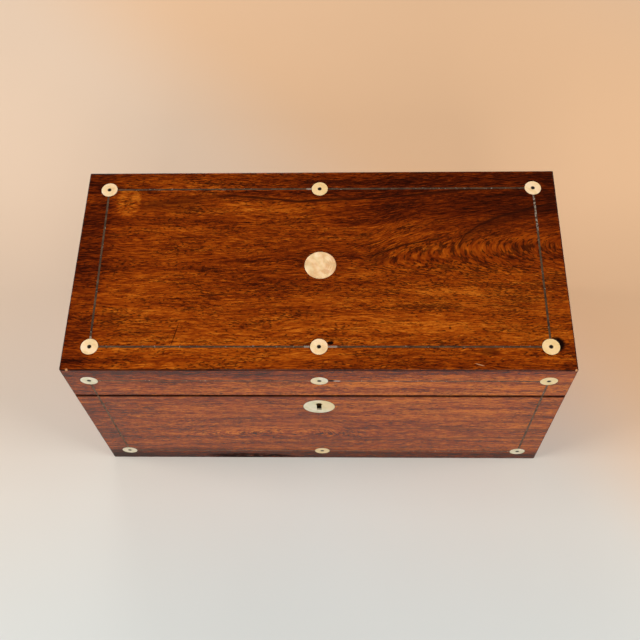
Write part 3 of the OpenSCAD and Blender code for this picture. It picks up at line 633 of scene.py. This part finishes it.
def leather(node):
    """Dark green skiver, rubbed at its middle; two gilt lines and a row of diamonds round it."""
    hide = Finish(node)
    low, high = corners(node)
    x, y, z = hide.x, hide.y, hide.z
    from_side = high.x - x.size()
    from_end = (high.y - low.y) / 2 - (y - (low.y + high.y) / 2).size()
    inset = from_side.least(from_end / math.cos(SLOPE))
    diamonds = ((inset - 6.2).size() + (x + y).zigzag(1.6)).rise(0.9, 0.7)
    outer_line = (inset - 4.2).size().rise(0.42, 0.3)
    inner_line = (inset - 8.2).size().rise(0.25, 0.15)
    rubbed_off = hide.noise(x / 2.5, y / 2.5, z / 2.5, 3.0).rise(0.3, 0.42)
    gilt = outer_line.most(inner_line, diamonds) * rubbed_off
    pebbles = hide.cells(x / 0.8, y / 0.8, z / 0.8)
    wrinkle = hide.noise(x / 7, y / 7, z / 7, 4.0, 0.6)
    rubbed = hide.noise(x / 60, y / 45, z / 45, 3.0).rise(0.42, 0.7) * inset.rise(8, 26)
    colour = hide.ramp(wrinkle, (0.3, rgb(24, 48, 34)), (0.7, rgb(46, 76, 54)))
    colour = hide.mix(rubbed * 0.5, colour, rgb(92, 98, 66))
    colour = hide.mix(gilt, colour, rgb(206, 160, 76))
    return hide.close(
        colour, 0.5 + rubbed * 0.12 - gilt * 0.15, pebbles * 0.6 + wrinkle - gilt, 0.12,
        Metallic=gilt * 0.8,
    )


def wear(finish, *nodes):
    """Gives those solids that finish."""
    for node in nodes:
        NODES[node].data.materials.clear()
        NODES[node].data.materials.append(finish)


wear(top_rosewood(), "lid_top_veneer")
wear(front_rosewood(), "lid_front_veneer", "base_front_veneer")
wear(plain_rosewood("rosewood_back", "x", TOP.x, 50.0), "lid_back_veneer", "base_back_veneer")
wear(plain_rosewood("rosewood_left", "y", TOP.y, 60.0), "lid_left_veneer", "base_left_veneer")
wear(plain_rosewood("rosewood_right", "y", TOP.y, 70.0), "lid_right_veneer", "base_right_veneer")
wear(pewter(), "lid_top_stringing", "lid_front_stringing", "base_stringing")
wear(
    pearl("pearl_roundels", small_clouds, 1.0),
    "lid_top_roundels", "lid_front_roundels", "base_roundels",
)
wear(pearl("pearl_disc", disc_clouds, 4.0), "lid_disc")
wear(pearl("pearl_escutcheon", small_clouds, 7.0), "escutcheon")
wear(ebony(), "lid_pips", "base_pips")
wear(
    mahogany("mahogany_walls", "x", "z", 1.0),
    "base_front_wall", "base_back_wall", "lid_front_rail", "lid_back_rail",
)
wear(
    mahogany("mahogany_sides", "y", "z", 9.0),
    "base_left_wall", "base_right_wall", "lid_left_rail", "lid_right_rail",
    "left_pocket_partition", "right_pocket_partition", "tray_cleats",
)
wear(
    mahogany("mahogany_boards", "x", "y", 17.0),
    "base_bottom", "lid_panel", "pen_deck", "pen_tray",
)
wear(mahogany("mahogany_flaps", "x", "y", 25.0, 1.08), "base_flap", "lid_flap", "pen_partition")
wear(mahogany("mahogany_ledges", "y", "x", 33.0), "base_ledges", "lid_ledges")
wear(brass("brass_lock", (206, 164, 92), (150, 112, 58)), "lock_case", "link_plate")
wear(
    brass("brass_hinges", (196, 152, 84), (132, 98, 52)),
    "base_hinge_leaves", "lid_hinge_leaves",
)
wear(
    brass("brass_screws", (176, 136, 76), (112, 84, 46)),
    "lock_screws", "link_plate_screws", "base_hinge_screws", "lid_hinge_screws",
)
wear(
    brass("brass_caps", (218, 178, 104), (160, 122, 64)),
    "inkwell_collars", "left_inkwell_cap", "right_inkwell_cap",
)
wear(steel(), "lock_bolt", "hinge_pins", "base_flap_pins", "lid_flap_pins")
wear(glass(), "left_inkwell", "right_inkwell")
for lining in ("base_flap_leather", "lid_flap_leather"):
    wear(leather(lining), lining)


# The room: a pale floor, light from a bright horizon under a dim ceiling, and four soft lamps

FLOOR_HALF = 1.2
HORIZON_LIGHT = 0.85
CEILING_LIGHT = 0.03
CAMERA_PLACE = (0.018657, -0.299256, 0.631005)
CAMERA_RIGHT = (0.999518, 0.014197, -0.027598)
CAMERA_UP = (0.000582, 0.880495, 0.474055)
CAMERA_BACK = (0.03103, -0.473843, 0.880063)
CAMERA_LENS = 52.3


def place_in_scene(name, data):
    """An object with that data, in the scene."""
    thing = bpy.data.objects.new(name, data)
    bpy.context.collection.objects.link(thing)
    return thing


def pale_floor():
    """A matt mottled floor, cool grey in front; the warmer tint behind and the warmest at the back
    right are painted warm light.
    """
    mesh = bpy.data.meshes.new("floor")
    signs = ((-1, -1), (1, -1), (1, 1), (-1, 1))
    square = [(across * FLOOR_HALF, deep * FLOOR_HALF, 0) for across, deep in signs]
    mesh.from_pydata(square, [], [(0, 1, 2, 3)])
    board = place_in_scene("floor", mesh)
    paint = Finish("floor_paint")
    x, y = paint.x, paint.y
    mottle = paint.noise(x / 160, y / 160, 0.0, 3.0)
    # Painted warm light: the tints behind and at the back right stand in for warm lamp light and
    # bounce from the box.
    farther_warm_light = (y + x.size() * 0.35).rise(-190, 230)
    warmest_light = (x + y).rise(60, 260) * (x ** 2 + y ** 2).rise(700 ** 2, 350 ** 2)
    colour = paint.mix(farther_warm_light, rgb(211, 217, 218), rgb(232, 206, 182))
    colour = paint.mix(warmest_light, colour, rgb(236, 194, 154))
    colour = paint.shade(colour, 0.97 + mottle * 0.06)
    mesh.materials.append(paint.close(colour, 0.55 + mottle * 0.1))


def room_light():
    """Light that fades from the horizon up to a dim ceiling."""
    world = bpy.data.worlds.new("room")
    bpy.context.scene.world = world
    world.use_nodes = True
    room = Nodes(world.node_tree)
    direction = room.node("TexCoord", {}, {}, "Generated")
    upward = room.node("SeparateXYZ", {}, {"Vector": direction}, "Z")
    sockets = {
        "Value": upward, "From Min": 0.1, "From Max": 0.7,
        "To Min": HORIZON_LIGHT, "To Max": CEILING_LIGHT,
    }
    strength = room.node("MapRange", {}, sockets)
    background = world.node_tree.nodes["Background"]
    room.feed(background, {"Color": (1.0, 0.97, 0.93, 1.0), "Strength": strength})


def lamp(name, place, power, size, colour):
    """A square soft lamp that faces the middle of the box."""
    light = bpy.data.lights.new(name, "AREA")
    light.energy, light.size, light.color = power, size, colour
    holder = place_in_scene(name, light)
    holder.location = place
    aim = Vector((0, 0, MID_Z / TO_MM)) - Vector(place)
    holder.rotation_euler = aim.to_track_quat("-Z", "Y").to_euler()


def camera():
    """The photograph's view: from above the front, a little to the right."""
    eye = bpy.data.cameras.new("camera")
    eye.lens, eye.sensor_width = CAMERA_LENS, 36.0
    eye.clip_start, eye.clip_end = 0.01, 20.0
    holder = place_in_scene("camera", eye)
    turn = Matrix((CAMERA_RIGHT, CAMERA_UP, CAMERA_BACK)).transposed().to_4x4()
    holder.matrix_world = Matrix.Translation(CAMERA_PLACE) @ turn
    bpy.context.scene.camera = holder


pale_floor()
room_light()
lamp("left_lamp", (-1.3, -0.2, 1.1), 16.5, 0.9, (1.0, 0.96, 0.9))
lamp("right_lamp", (1.3, -0.3, 1.1), 14.5, 0.9, (1.0, 0.97, 0.93))
lamp("front_lamp", (0.1, -1.5, 1.0), 11.0, 0.8, (1.0, 0.95, 0.88))
lamp("back_lamp", (-0.4, 1.6, 0.7), 7.0, 0.8, (1.0, 0.95, 0.88))
camera()
bpy.context.scene.view_settings.view_transform = "Standard"
